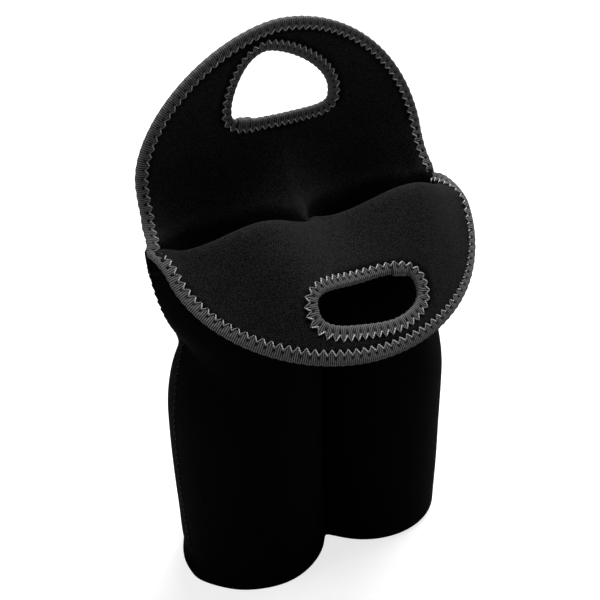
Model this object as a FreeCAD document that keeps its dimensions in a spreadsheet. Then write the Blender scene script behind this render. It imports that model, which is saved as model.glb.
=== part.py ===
import FreeCAD, Part
import Sketcher
import math
import os

# Frame: X runs along the two sleeves, the front is at -Y, Z is up, the bases stand on Z = 0.
# Lengths are millimetres and angles are degrees. Shares are plain ratios.
sizes = {
    "cloth": 4,
    "tape": 0.8,
    "tape_width": 6.5,
    "thread": 0.9,
    "stitch_pitch": 4.6,
    "stitch_swing": 2.6,
    "joint_gap": 0.8,
    "overrun": 6,
    "sleeve_bore": 88,
    "sleeve_spacing": 92,
    "base_round": 8,
    "base_inset": 6,
    "body_height": 138,
    "waist_rise": 30,
    "waist_draw": 6,
    "waist_flatten": 4.5,
    "waist_valley": 11,
    "mouth_rise": 56,
    "mouth_flare": 5.5,
    "mouth_depth": 28,
    "mouth_valley": 7,
    "front_tilt": 34.3,
    "front_root_rise": 9.3,
    "front_root_setback": 1.6,
    "front_flare": 2.5,
    "front_shoulder": 15,
    "front_arch": 87,
    "front_base": 24,
    "front_crest": 5,
    "front_lobe": 29,
    "front_bulge": 9,
    "front_slot_half_width": 32,
    "front_slot_half_height": 13,
    "front_slot_margin": 4,
    "fold_radius": 6,
    "back_draw": 1.5,
    "back_shoulder": 32.5,
    "back_arch": 84.5,
    "back_centre_low": 3,
    "back_centre_lean": 31,
    "back_lobe_set": 3,
    "back_lobe_lean": 11,
    "back_side_lean": 28,
    "back_lean_height": 60,
    "back_slot_half_width": 33,
    "back_slot_half_height": 17,
    "back_slot_margin": 8,
    "tack_length": 9,
    "tack_width": 3,
    "tack_drop": 6,
    "mouth_tack": 16,
}

station_shares = (-1.01, -0.9, -0.75, -0.5, -0.25, 0, 0.25, 0.5, 0.75, 0.9, 1.01)
fold_shares = (-0.985, -0.9, -0.75, -0.5, -0.25, 0, 0.25, 0.5, 0.75, 0.9, 0.985)
level_shares = (0.25, 0.5, 0.75, 1)
round_turns = (0, 30, 60, 90)
thread_end_share = 0.06
round_share = 0.9
least_share = 0.1

os.makedirs("parts", exist_ok=True)
doc = FreeCAD.newDocument("bottle_carrier")
sheet = doc.addObject("Spreadsheet::Sheet", "Dimensions")
for row, (alias, value) in enumerate(sizes.items(), start=1):
    sheet.set("A%d" % row, alias)
    sheet.set("B%d" % row, str(value))
    sheet.setAlias("B%d" % row, alias)
doc.recompute()

size = {alias: float(sheet.get(alias)) for alias in sizes}
cloth = size["cloth"]
tape = size["tape"]
waist = size["body_height"] + size["waist_rise"]
mouth = waist + size["mouth_rise"]
overrun = size["overrun"]
sleeve_radius = size["sleeve_bore"] / 2 + cloth
body_half_width = size["sleeve_spacing"] / 2 + sleeve_radius
body_valley = math.sqrt(max(sleeve_radius**2 - (size["sleeve_spacing"] / 2) ** 2, cloth**2))
lobe_share = size["sleeve_spacing"] / 2 / body_half_width
mouth_half_width = body_half_width + size["mouth_flare"]
half_widths = {"front": mouth_half_width + size["front_flare"], "back": mouth_half_width - size["back_draw"]}


def vector(x, y, z):
    return FreeCAD.Vector(x, y, z)


def smooth(share):
    held = min(max(share, 0), 1)
    return held * held * (3 - 2 * held)


def between(low, high, share):
    return low + (high - low) * share


def feature(label, shape, placement=None):
    made = doc.addObject("Part::Feature", label)
    made.Shape = shape
    made.Label = label
    if placement is not None:
        made.Placement = placement
    return made


def cut(label, base, tool):
    made = doc.addObject("Part::Cut", label)
    made.Base = base
    made.Tool = tool
    made.Label = label
    return made


def common(label, shapes):
    made = doc.addObject("Part::MultiCommon", label)
    made.Shapes = shapes
    made.Label = label
    return made


# Half width, depth and valley of the two-lobed outline at one height.
def outline_at(level):
    body = (body_half_width, sleeve_radius, body_valley)
    middle = (body_half_width - size["waist_draw"], sleeve_radius - size["waist_flatten"], size["waist_valley"])
    top = (mouth_half_width, size["mouth_depth"], size["mouth_valley"])
    if level < size["base_round"]:
        rise = math.acos(1 - level / size["base_round"])
        inset = size["base_inset"] * (1 - math.sin(rise))
        # The panels meet between the sleeves, so the valley stays at least one cloth deep.
        return (body[0] - inset, body[1] - inset, max(body[2] - inset, cloth))
    if level <= size["body_height"]:
        return body
    if level <= waist:
        share = (level - size["body_height"]) / size["waist_rise"]
        return tuple(between(a, b, smooth(share)) for a, b in zip(body, middle))
    share = (level - waist) / size["mouth_rise"]
    return tuple(between(a, b, smooth(share)) for a, b in zip(middle, top))


def half_section(level):
    width, depth, valley = outline_at(level)
    lobe = width * lobe_share
    right = Part.Arc(vector(width, 0, level), vector(lobe, -depth, level), vector(0, -valley, level))
    left = Part.Arc(vector(0, -valley, level), vector(-lobe, -depth, level), vector(-width, 0, level))
    closing = Part.LineSegment(vector(-width, 0, level), vector(width, 0, level))
    return Part.Wire([right.toShape(), left.toShape(), closing.toShape()])


def well_section(level, height, side):
    width, depth, valley = outline_at(level)
    outer = width - cloth
    inner = cloth / 2
    deep = depth - cloth
    middle = (outer + inner) / 2
    front = Part.Arc(
        vector(side * outer, 0, height), vector(side * middle, -deep, height), vector(side * inner, 0, height)
    )
    back = Part.Arc(
        vector(side * inner, 0, height), vector(side * middle, deep, height), vector(side * outer, 0, height)
    )
    return Part.Wire([front.toShape(), back.toShape()])


def zone_levels(low, high):
    return [between(low, high, share) for share in level_shares]


round_levels = [size["base_round"] * (1 - math.cos(math.radians(turn))) for turn in round_turns]
neck_levels = zone_levels(size["body_height"], waist) + zone_levels(waist, mouth)
upper_levels = [size["body_height"]] + neck_levels

# Sleeves: a two-lobed half block, hollowed by one well for each sleeve.
front_block = feature(
    "front_block", Part.makeLoft([half_section(level) for level in round_levels + upper_levels], True, True)
)
back_block = doc.addObject("Part::Mirroring", "back_block")
back_block.Source = front_block
back_block.Base = vector(0, 0, 0)
back_block.Normal = vector(0, 1, 0)
wells = []
for side, name in ((-1, "left_well"), (1, "right_well")):
    sections = [well_section(cloth, cloth, side), well_section(size["base_round"], size["base_round"], side)]
    sections += [well_section(level, level, side) for level in upper_levels]
    sections.append(well_section(mouth, mouth + overrun, side))
    wells.append(feature(name, Part.makeLoft(sections, True, True)))
both_wells = doc.addObject("Part::Compound", "both_wells")
both_wells.Links = wells
front_panel = cut("front_panel", front_block, both_wells)
back_panel = cut("back_panel", back_block, both_wells)


# Each handle end is a sheet over a flat plane: x across it, run away from its root, rise off it.
def lobes(x, half_width):
    return math.sin(math.pi * min(abs(x) / half_width, 1)) ** 2


def arch_run(prefix, x):
    share = min(abs(x) / half_widths[prefix], 1)
    return size[prefix + "_shoulder"] + size[prefix + "_arch"] * math.sqrt(1 - share**2)


def front_rise(x, run):
    half_width = half_widths["front"]
    crest = size["front_crest"] + size["front_lobe"] * lobes(x, half_width)
    share = run / max(arch_run("front", x), size["front_base"])
    bulge = size["front_bulge"] * math.cos(math.pi / 2 * min(abs(x) / half_width, 1)) ** 2
    return crest * (1 - share) + 4 * bulge * share * (1 - share)


def back_rise(x, run):
    half_width = mouth_half_width
    lean = smooth(run / size["back_lean_height"])
    centre = size["back_centre_low"] + size["back_centre_lean"] * lean
    lobe = size["mouth_depth"] - size["back_lobe_set"] + size["back_lobe_lean"] * lean
    side = size["back_side_lean"] * lean
    across = math.cos(math.pi / 2 * min(abs(x) / half_width, 1)) ** 2
    swell = lobes(x, half_width) ** between(0.5, 1, lean)
    return between(side, centre, across) + (lobe - (centre + side) / 2) * swell


def ribbon(points, across, thickness, foot=None):
    """Closed outline of a strip about a bent middle line of three points, all at one x."""
    first, middle, last = points
    start = middle - first if foot is None else foot
    sides = []
    for sign in (1, -1):
        moved = []
        for point, ahead in ((first, start), (middle, last - first), (last, last - middle)):
            normal = across.cross(ahead)
            normal.normalize()
            moved.append(point + normal * (sign * thickness / 2))
        pole = moved[1] * 2 - (moved[0] + moved[2]) * 0.5
        sides.append((moved[0], pole, moved[2]))
    upper = Part.BezierCurve()
    upper.setPoles(list(sides[0]))
    lower = Part.BezierCurve()
    lower.setPoles(list(reversed(sides[1])))
    edges = [
        upper.toShape(),
        Part.LineSegment(sides[0][2], sides[1][2]).toShape(),
        lower.toShape(),
        Part.LineSegment(sides[1][0], sides[0][0]).toShape(),
    ]
    return Part.Wire(edges)


def handle_sheet(prefix, rise, base, thickness):
    sections = []
    for share in station_shares:
        x = share * half_widths[prefix]
        tip = max(arch_run(prefix, x), base) + overrun
        points = [vector(x, run, -rise(x, run)) for run in (base, (base + tip) / 2, tip)]
        sections.append(ribbon(points, vector(1, 0, 0), thickness))
    return Part.makeLoft(sections, True, False)


def oval(half_width, half_height, run):
    centre = vector(0, run, 0)
    sideways = centre + vector(half_width, 0, 0)
    upward = centre + vector(0, half_height, 0)
    ends = (sideways, upward) if half_width >= half_height else (upward, centre - vector(half_width, 0, 0))
    return Part.Ellipse(ends[0], ends[1], centre).toShape()


def prism(label, edge, placement):
    rim = feature(label + "_rim", Part.Wire([edge]), placement)
    made = doc.addObject("Part::Extrusion", label)
    made.Base = rim
    made.DirMode = "Normal"
    made.Solid = True
    made.Symmetric = True
    made.setExpression("LengthFwd", "4 * Dimensions.back_arch")
    return made


def thread_run(points):
    stitches = []
    for start, end in zip(points, points[1:]):
        run = end - start
        length = run.Length * (1 - 2 * thread_end_share)
        stitches.append(Part.makeCylinder(size["thread"] / 2, length, start + run * thread_end_share, run))
    return stitches


def zigzag_on(rise, half_width, half_height, centre, lowest):
    """Thread on both faces of a sheet, swinging across a line inside or outside an oval."""
    swing = size["stitch_swing"] / 2
    inner = oval(half_width - swing, half_height - swing, centre)
    outer = oval(half_width + swing, half_height + swing, centre)
    count = 2 * max(round(inner.Length / size["stitch_pitch"]), 4) + 1
    rows = (inner.discretize(count), outer.discretize(count))
    stitches = []
    for face in (1, -1):
        lift = face * (cloth / 2 + tape)
        run = []
        for place in range(count):
            spot = rows[place % 2][place]
            if spot.y > lowest:
                run.append(vector(spot.x, spot.y, lift - rise(spot.x, spot.y)))
            else:
                stitches += thread_run(run)
                run = []
        stitches += thread_run(run)
    return Part.makeCompound(stitches)


def handle_end(prefix, rise, base, placement):
    """The cloth, tapes and threads of one handle end."""
    half_width = half_widths[prefix]
    arch = size[prefix + "_arch"]
    shoulder = size[prefix + "_shoulder"]
    slot_width = size[prefix + "_slot_half_width"]
    slot_height = size[prefix + "_slot_half_height"]
    band = size["tape_width"]
    slot_centre = shoulder + arch - size[prefix + "_slot_margin"] - 2 * band - slot_height
    start = base + size["joint_gap"]

    thin = feature(prefix + "_thin_sheet", handle_sheet(prefix, rise, start, cloth), placement)
    thick = feature(prefix + "_thick_sheet", handle_sheet(prefix, rise, start, cloth + 2 * tape), placement)
    ovals = {
        "rim_outer": (half_width, arch, shoulder),
        "rim_cloth": (half_width - tape, arch - tape, shoulder),
        "rim_inner": (half_width - band, arch - band, shoulder),
        "slot_inner": (slot_width, slot_height, slot_centre),
        "slot_cloth": (slot_width + tape, slot_height + tape, slot_centre),
        "slot_outer": (slot_width + band, slot_height + band, slot_centre),
    }
    block = {}
    for name, (width, height, run) in ovals.items():
        block[name] = prism(prefix + "_" + name, oval(width, height, run), placement)

    whole = common(prefix + "_whole", [thin, block["rim_cloth"]])
    flap = cut(prefix + "_flap", whole, block["slot_cloth"])
    rim_ring = cut(prefix + "_rim_ring", block["rim_outer"], block["rim_inner"])
    rim_band = common(prefix + "_rim_band", [thick, rim_ring])
    rim_tape = cut(prefix + "_flap_binding", rim_band, flap)
    slot_ring = cut(prefix + "_slot_ring", block["slot_outer"], block["slot_inner"])
    slot_band = common(prefix + "_slot_band", [thick, slot_ring])
    slot_tape = cut(prefix + "_slot_binding", slot_band, flap)

    rim_thread = zigzag_on(rise, half_width - band, arch - band, shoulder, start + size["stitch_pitch"])
    slot_thread = zigzag_on(rise, slot_width + band, slot_height + band, slot_centre, start)
    return [
        flap,
        rim_tape,
        slot_tape,
        feature(prefix + "_flap_stitch", rim_thread, placement),
        feature(prefix + "_slot_stitch", slot_thread, placement),
    ]


# Both planes turn about X: the front one points forward and down, the back one stands up.
front_turn = FreeCAD.Rotation(vector(1, 0, 0), 180 + size["front_tilt"])
front_place = FreeCAD.Placement(
    vector(0, -size["front_root_setback"], mouth + size["front_root_rise"]), front_turn
)
back_place = FreeCAD.Placement(vector(0, 0, mouth), FreeCAD.Rotation(vector(1, 0, 0), 90))
front_end = handle_end("front", front_rise, size["front_base"], front_place)
back_end = handle_end("back", back_rise, size["back_shoulder"], back_place)


# The front fold rises from the mouth, turns over a round and meets the handle end's base.
# At the sides the two folds stand back to back, with their tapes just apart.
side_by_side = cloth / 2 + tape + size["joint_gap"] / 2
up = vector(0, 0, 1)


def fold_section(x, thickness):
    base = size["front_base"]
    near = front_place.multVec(vector(x, base, -front_rise(x, base)))
    ahead = front_place.multVec(vector(x, base + cloth, -front_rise(x, base + cloth)))
    slope = ahead - near
    slope.normalize()
    foot = vector(x, -max(back_rise(x, 0), side_by_side), mouth)
    reach = (foot.y - near.y) / -slope.y
    corner = near - slope * reach
    turn = up.getAngle(slope)
    tangent = size["fold_radius"] * math.tan(turn / 2)
    spare = max(round_share * min(reach, corner.z - foot.z) / tangent, least_share)
    radius = size["fold_radius"] * min(spare, 1)
    tangent = radius * math.tan(turn / 2)
    start = corner - up * tangent
    end = corner + slope * tangent
    hub = start + vector(0, -radius, 0)
    crown = (start + end) * 0.5 - hub
    crown.normalize()
    lines = []
    for sign in (1, -1):
        half = sign * thickness / 2
        out_foot = vector(0, half, 0)
        out_end = vector(0, -slope.z, slope.y) * -half
        arc = Part.Arc(start + out_foot, hub + crown * (radius + half), end + out_end)
        lines.append(
            [
                Part.LineSegment(foot + out_foot, start + out_foot).toShape(),
                arc.toShape(),
                Part.LineSegment(end + out_end, near + out_end).toShape(),
            ]
        )
    tops = [edges[0].Vertexes[0].Point for edges in lines]
    tips = [edges[2].Vertexes[-1].Point for edges in lines]
    closing = [Part.LineSegment(tips[0], tips[1]).toShape(), Part.LineSegment(tops[1], tops[0]).toShape()]
    return Part.Wire(lines[0] + closing[:1] + lines[1][::-1] + closing[1:])


def back_section(x, thickness):
    reach = size["back_shoulder"]
    points = [vector(x, max(back_rise(x, run), side_by_side), mouth + run) for run in (0, reach / 2, reach)]
    return ribbon(points, vector(1, 0, 0), thickness, up)


def fold(prefix, section, width):
    """The flexing strip under one handle end, with a tape over each of its two edges."""
    strip = feature(prefix + "_fold", Part.makeLoft([section(share * width, cloth) for share in fold_shares], True, False))
    edges = []
    for side in (-1, 1):
        rim = fold_shares[-1] * width + tape
        spots = [side * (rim - size["tape_width"] * share) for share in (1, 0.5, 0)]
        sections = [section(x, cloth + 2 * tape) for x in spots]
        edges.append(feature(prefix + "_edge_block", Part.makeLoft(sections, True, False)))
    blocks = doc.addObject("Part::Compound", prefix + "_edge_blocks")
    blocks.Links = edges
    return [strip, cut(prefix + "_fold_binding", blocks, strip)]


front_parts = fold("front", fold_section, mouth_half_width)
back_parts = fold("back", back_section, half_widths["back"])


# Seams: zigzag down each side and across each base, straight stitches down the middle.
def zigzag_line(spots, swing):
    return thread_run([spot + swing * (1 if place % 2 else -1) for place, spot in enumerate(spots)])


half_pitch = size["stitch_pitch"] / 2
sink = size["thread"] / 2
seam_count = max(round((mouth - 2 * size["base_round"]) / half_pitch), 4)
seam_levels = [
    between(size["base_round"], mouth - size["base_round"], place / seam_count) for place in range(seam_count + 1)
]
side_swing = vector(0, size["stitch_swing"] / 2, 0)
seams = []
for side, name in ((-1, "left_side_seam"), (1, "right_side_seam")):
    spots = [vector(side * outline_at(level)[0], 0, level) for level in seam_levels]
    seams.append(feature(name, Part.makeCompound(zigzag_line(spots, side_swing))))
middle_stitches = []
for face in (-1, 1):
    spots = [vector(0, face * outline_at(level)[2], level) for level in seam_levels]
    for place in range(0, seam_count, 2):
        middle_stitches += thread_run(spots[place : place + 2])
seams.append(feature("centre_seam", Part.makeCompound(middle_stitches)))
base_reach = outline_at(0)[0] - overrun
base_count = max(round((base_reach - overrun) / half_pitch), 4)
for side, name in ((-1, "left_base_seam"), (1, "right_base_seam")):
    spots = [
        vector(side * between(overrun, base_reach, place / base_count), 0, sink)
        for place in range(base_count + 1)
    ]
    seams.append(feature(name, Part.makeCompound(zigzag_line(spots, side_swing))))


# Bar tacks lock the ends of the seams at the mouth.
def bar_tack(label, width, depth, place):
    body = doc.addObject("PartDesign::Body", label)
    body.Label = label
    sketch = body.newObject("Sketcher::SketchObject", label + "_sketch")
    sketch.AttachmentSupport = [(body.Origin.OriginFeatures[3], "")]
    sketch.MapMode = "FlatFace"
    half_x = size[width] / 2
    half_y = size[depth] / 2
    corners = [
        vector(-half_x, -half_y, 0),
        vector(half_x, -half_y, 0),
        vector(half_x, half_y, 0),
        vector(-half_x, half_y, 0),
    ]
    for place_number in range(4):
        sketch.addGeometry(Part.LineSegment(corners[place_number], corners[(place_number + 1) % 4]), False)
    for place_number in range(4):
        sketch.addConstraint(Sketcher.Constraint("Coincident", place_number, 2, (place_number + 1) % 4, 1))
    for line, kind in ((0, "Horizontal"), (1, "Vertical"), (2, "Horizontal"), (3, "Vertical")):
        sketch.addConstraint(Sketcher.Constraint(kind, line))
    sketch.addConstraint(Sketcher.Constraint("Symmetric", 0, 1, 1, 2, -1, 1))
    across = sketch.addConstraint(Sketcher.Constraint("DistanceX", 0, 1, 0, 2, size[width]))
    along = sketch.addConstraint(Sketcher.Constraint("DistanceY", 1, 1, 1, 2, size[depth]))
    sketch.setExpression("Constraints[%d]" % across, "Dimensions." + width)
    sketch.setExpression("Constraints[%d]" % along, "Dimensions." + depth)
    pad = body.newObject("PartDesign::Pad", label + "_pad")
    pad.Profile = sketch
    pad.setExpression("Length", "Dimensions.tack_width")
    body.Placement = FreeCAD.Placement(place, FreeCAD.Rotation())
    return body


tack_level = mouth - size["tack_drop"]
tack_reach = outline_at(tack_level)[0]
tacks = [
    bar_tack("left_tack", "tack_width", "tack_length", vector(-tack_reach, 0, tack_level)),
    bar_tack("right_tack", "tack_width", "tack_length", vector(tack_reach, 0, tack_level)),
    bar_tack("centre_tack", "tack_width", "mouth_tack", vector(0, 0, tack_level)),
]

nodes = [front_panel, back_panel] + front_parts + back_parts + front_end + back_end + seams + tacks
doc.recompute()
for made in doc.Objects:
    if "Invalid" in made.State or "Error" in made.State:
        raise RuntimeError("%s did not recompute: %s" % (made.Label, made.State))
for node in nodes:
    if node.Shape.isNull() or not node.Shape.isValid():
        raise RuntimeError("%s has no valid shape" % node.Label)
    node.Shape.exportStep("parts/%s.step" % node.Label)
    print(node.Label, len(node.Shape.Solids), round(node.Shape.Volume))
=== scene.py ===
import bmesh
import bpy
import math
import numpy as np
from mathutils import Matrix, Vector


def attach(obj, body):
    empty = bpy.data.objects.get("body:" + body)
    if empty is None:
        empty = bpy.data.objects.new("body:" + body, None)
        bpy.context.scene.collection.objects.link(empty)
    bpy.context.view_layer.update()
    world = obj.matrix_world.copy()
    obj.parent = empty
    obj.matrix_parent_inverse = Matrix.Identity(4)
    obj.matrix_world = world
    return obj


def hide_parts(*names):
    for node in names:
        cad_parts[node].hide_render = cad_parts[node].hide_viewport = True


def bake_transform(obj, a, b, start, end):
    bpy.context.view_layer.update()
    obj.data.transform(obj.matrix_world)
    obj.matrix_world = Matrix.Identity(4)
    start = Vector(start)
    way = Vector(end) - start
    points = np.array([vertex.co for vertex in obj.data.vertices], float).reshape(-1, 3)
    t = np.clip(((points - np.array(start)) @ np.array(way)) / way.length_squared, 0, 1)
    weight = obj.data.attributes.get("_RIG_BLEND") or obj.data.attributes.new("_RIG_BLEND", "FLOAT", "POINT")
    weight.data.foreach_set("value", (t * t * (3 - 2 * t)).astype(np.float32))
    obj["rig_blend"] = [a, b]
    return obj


# Shapes are in millimetres in the shared frame and become metres where a mesh is made. Materials,
# bends, sheets and the stage are in metres.
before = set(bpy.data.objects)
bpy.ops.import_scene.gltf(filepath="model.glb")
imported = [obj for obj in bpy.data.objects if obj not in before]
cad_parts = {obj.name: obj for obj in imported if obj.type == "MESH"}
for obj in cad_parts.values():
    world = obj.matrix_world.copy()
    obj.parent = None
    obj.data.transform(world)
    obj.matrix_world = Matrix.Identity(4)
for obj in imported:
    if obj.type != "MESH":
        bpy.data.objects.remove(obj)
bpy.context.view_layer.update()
metre = 0.001
weldDistance = 1e-6
leastLength = 1e-9


def ease(share):
    held = np.clip(share, 0.0, 1.0)
    return held * held * (3.0 - 2.0 * held)


# A bell curve of height 1 that falls to 1 / e at its width from its middle.
def bell(value, middle, width):
    return np.exp(-(((value - middle) / width) ** 2))


# From 0 to 1 over a length from a start.
def rising(value, start, length):
    return ease((value - start) / length)


def unit(vectors):
    return vectors / np.maximum(np.linalg.norm(vectors, axis=-1, keepdims=True), leastLength)


def blendOf(first, second, share):
    return first + (second - first) * share


def stack(x, y, z):
    return np.stack(np.broadcast_arrays(x, y, z), axis=-1).astype(float)


def chained(*arrays):
    return np.concatenate(arrays)


# Distance from the first point along one axis of a line or grid of points.
def wayAlong(points, axis=0):
    first = np.take(points, [0], axis=axis)
    return np.linalg.norm(np.diff(points, axis=axis, prepend=first), axis=-1).cumsum(axis=axis)


# Quads of a grid of vertex numbers, closed across its columns when asked.
def quadsOf(numbers, closed=False):
    if closed:
        numbers = np.concatenate([numbers, numbers[:, :1]], axis=1)
    corners = [numbers[:-1, :-1], numbers[:-1, 1:], numbers[1:, 1:], numbers[1:, :-1]]
    return np.stack([c.ravel() for c in corners], axis=1)


# A part is points, quads, triangles, cut coordinates, fold shares and material numbers. Some parts
# have a painted shade too: how far the colour is darkened at each point to stand in for shade.
def joined(parts):
    starts = np.cumsum([0] + [len(part["points"]) for part in parts])
    keys = [key for key in ("points", "uv", "shares", "slots", "paintedShade") if key in parts[0]]
    out = {key: np.concatenate([part[key] for part in parts]) for key in keys}
    for key in ("quads", "triangles"):
        out[key] = np.concatenate([part[key] + start for part, start in zip(parts, starts)])
    return out


# A new object in the scene.
def objectOf(name, data):
    made = bpy.data.objects.new(name, data)
    bpy.context.scene.collection.objects.link(made)
    return made


def meshObject(name, part, materials):
    mesh = bpy.data.meshes.new(name)
    faces = part["quads"].tolist() + part["triangles"].tolist()
    mesh.from_pydata((part["points"] * metre).tolist(), [], faces)
    for material in materials:
        mesh.materials.append(material)
    mesh.polygons.foreach_set("material_index", part["slots"].astype(np.int32))
    corners = np.zeros(len(mesh.loops), np.int32)
    mesh.loops.foreach_get("vertex_index", corners)
    layer = mesh.uv_layers.new(name="cut")
    layer.data.foreach_set("uv", (part["uv"][corners] * metre).astype(np.float32).ravel())
    share = mesh.attributes.new("foldShare", "FLOAT", "POINT")
    share.data.foreach_set("value", part["shares"].astype(np.float32))
    if "paintedShade" in part:
        paintedShade = mesh.attributes.new("paintedShade", "FLOAT", "POINT")
        paintedShade.data.foreach_set("value", part["paintedShade"].astype(np.float32))
    work = bmesh.new()
    work.from_mesh(mesh)
    bmesh.ops.remove_doubles(work, verts=work.verts, dist=weldDistance)
    bmesh.ops.recalc_face_normals(work, faces=work.faces)
    work.to_mesh(mesh)
    work.free()
    mesh.polygons.foreach_set("use_smooth", np.ones(len(mesh.polygons), bool))
    return objectOf(name, mesh)


# A piece that bends with a fold: each point turns by its own share, measured along the cloth.
def bendWith(piece, body, start, end):
    mesh = piece.data
    shares = np.zeros(len(mesh.vertices), np.float32)
    mesh.attributes["foldShare"].data.foreach_get("value", shares)
    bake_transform(piece, "carrier", body, start=start, end=end)
    mesh.attributes["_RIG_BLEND"].data.foreach_set("value", shares)
    mesh.attributes.remove(mesh.attributes["foldShare"])
    mesh.update()


def rideOn(piece, body):
    piece.data.attributes.remove(piece.data.attributes["foldShare"])
    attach(piece, body)


# Materials

# The wave texture has a period of pi / 10 metres at scale 1.
wavePeriod = math.pi / 10.0
# How dark a colour becomes where the painted shade is full.
darkestShade = 0.04


class Nodes:
    def __init__(self, name):
        self.material = bpy.data.materials.new(name)
        self.material.use_nodes = True
        self.tree = self.material.node_tree
        self.shader = self.tree.nodes["Principled BSDF"]
        self.coords = self.add("ShaderNodeTexCoord", {})

    # Inputs by name or number: the output of another node is linked, and a value is set.
    def fill(self, node, inputs):
        for key, value in inputs.items():
            if isinstance(value, bpy.types.NodeSocket):
                self.tree.links.new(value, node.inputs[key])
            else:
                node.inputs[key].default_value = value

    def add(self, kind, inputs, **properties):
        node = self.tree.nodes.new(kind)
        for key, value in properties.items():
            setattr(node, key, value)
        self.fill(node, inputs)
        return node

    def noise(self, scale, detail, roughness=0.5):
        place = self.coords.outputs["Object"]
        inputs = {"Vector": place, "Scale": scale, "Detail": detail, "Roughness": roughness}
        return self.add("ShaderNodeTexNoise", inputs).outputs["Fac"]

    # Bands of one period in metres along the first or second direction of the cut.
    def bands(self, period, direction, turn=0.0, wobble=0.0):
        turned = {"Vector": self.coords.outputs["UV"], "Rotation": (0.0, 0.0, turn)}
        place = self.add("ShaderNodeMapping", turned).outputs["Vector"]
        inputs = {"Vector": place, "Scale": wavePeriod / period, "Distortion": wobble, "Detail": 1.0}
        node = self.add("ShaderNodeTexWave", inputs, wave_type="BANDS", bands_direction=direction)
        return node.outputs["Fac"]

    # Two greys, each at its place of the source, and all between them.
    def ramp(self, source, stops):
        node = self.add("ShaderNodeValToRGB", {"Fac": source})
        for element, (place, level) in zip(node.color_ramp.elements, stops):
            element.position = place
            element.color = (level, level, level, 1.0)
        return node.outputs["Color"]

    # Full colour where the painted shade is 0 and almost black where it is 1.
    def paintShaded(self, colour):
        paintedShade = self.add("ShaderNodeAttribute", {}, attribute_name="paintedShade").outputs["Fac"]
        return self.multiply(colour, self.ramp(paintedShade, [(0.0, 1.0), (1.0, darkestShade)]))

    # A mix node's colours come in at sockets 6 and 7 and leave at 2.
    def multiply(self, first, second):
        inputs = {"Factor": 1.0, 6: first, 7: second}
        return self.add("ShaderNodeMix", inputs, data_type="RGBA", blend_type="MULTIPLY").outputs[2]

    def sum(self, first, second, share):
        inputs = {0: second, 1: share, 2: first}
        return self.add("ShaderNodeMath", inputs, operation="MULTIPLY_ADD").outputs[0]

    # What cloth, tape and thread share: a colour with painted shade, roughness by the grain, and a bump.
    def finished(self, colour, grain, height, look, gloss):
        low, high = look["roughness"]
        strength, depth = look["bump"]
        rough = self.add("ShaderNodeMapRange", {"Value": grain, "To Min": low, "To Max": high})
        bump = self.add("ShaderNodeBump", {"Height": height, "Strength": strength, "Distance": depth})
        inputs = {
            "Base Color": self.paintShaded(colour),
            "Roughness": rough.outputs["Result"],
            "Normal": bump.outputs["Normal"],
            "Specular IOR Level": gloss,
        }
        self.fill(self.shader, inputs)
        return self.material


knit = {
    "grain": (2100.0, 2.0, 0.6), "grainPlaces": (0.43, 0.59), "roughness": (0.82, 0.97),
    "cloud": (60.0, 2.0), "cloudStops": ((0.25, 0.82), (0.75, 1.0)),
    "wales": 0.0009, "courses": 0.0006, "wobble": 0.6, "courseShare": 0.7,
    "loopShare": 0.12, "bump": (0.45, 0.0003),
}


def jersey(name, dark, light, gloss):
    made = Nodes(name)
    grain = made.noise(*knit["grain"])
    cloud = made.noise(*knit["cloud"])
    wales = made.bands(knit["wales"], "X", wobble=knit["wobble"])
    courses = made.bands(knit["courses"], "Y", wobble=knit["wobble"])
    loops = made.sum(wales, courses, knit["courseShare"])
    fine = made.ramp(grain, zip(knit["grainPlaces"], (dark, light)))
    wide = made.ramp(cloud, knit["cloudStops"])
    height = made.sum(grain, loops, knit["loopShare"])
    return made.finished(made.multiply(fine, wide), grain, height, knit, gloss)


webbing = {
    "period": 0.0012, "wobble": 0.4, "ribPlaces": (0.15, 0.8),
    "grain": (900.0, 2.0, 0.6), "grainStops": ((0.3, 0.72), (0.75, 1.0)), "grainShare": 0.5,
    "roughness": (0.6, 0.85), "bump": (0.6, 0.0003),
}


def ribbedTape(name, dark, light, gloss):
    made = Nodes(name)
    ribs = made.bands(webbing["period"], "X", wobble=webbing["wobble"])
    grain = made.noise(*webbing["grain"])
    weave = made.ramp(ribs, zip(webbing["ribPlaces"], (dark, light)))
    worn = made.ramp(grain, webbing["grainStops"])
    height = made.sum(ribs, grain, webbing["grainShare"])
    return made.finished(made.multiply(weave, worn), grain, height, webbing, gloss)


yarn = {
    "period": 0.0011, "turn": 0.6, "strandPlaces": (0.2, 0.85), "grain": (1600.0, 1.0),
    "roughness": (0.45, 0.7), "bump": (0.5, 0.00015),
}


def spunThread(name, dark, light, gloss):
    made = Nodes(name)
    twist = made.bands(yarn["period"], "X", turn=yarn["turn"])
    grain = made.noise(*yarn["grain"])
    strands = made.ramp(twist, zip(yarn["strandPlaces"], (dark, light)))
    return made.finished(strands, grain, twist, yarn, gloss)


blackJersey = jersey("blackJersey", dark=0.0006, light=0.0019, gloss=0.03)
liningJersey = jersey("liningJersey", dark=0.0008, light=0.0262, gloss=0.04)
greyTape = ribbedTape("greyTape", dark=0.014, light=0.185, gloss=0.08)
greyThread = spunThread("greyThread", dark=0.33, light=0.74, gloss=0.2)
blackThread = spunThread("blackThread", dark=0.002, light=0.006, gloss=0.05)
print("materials made")


# Sleeves, shared by the two cloths

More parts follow.
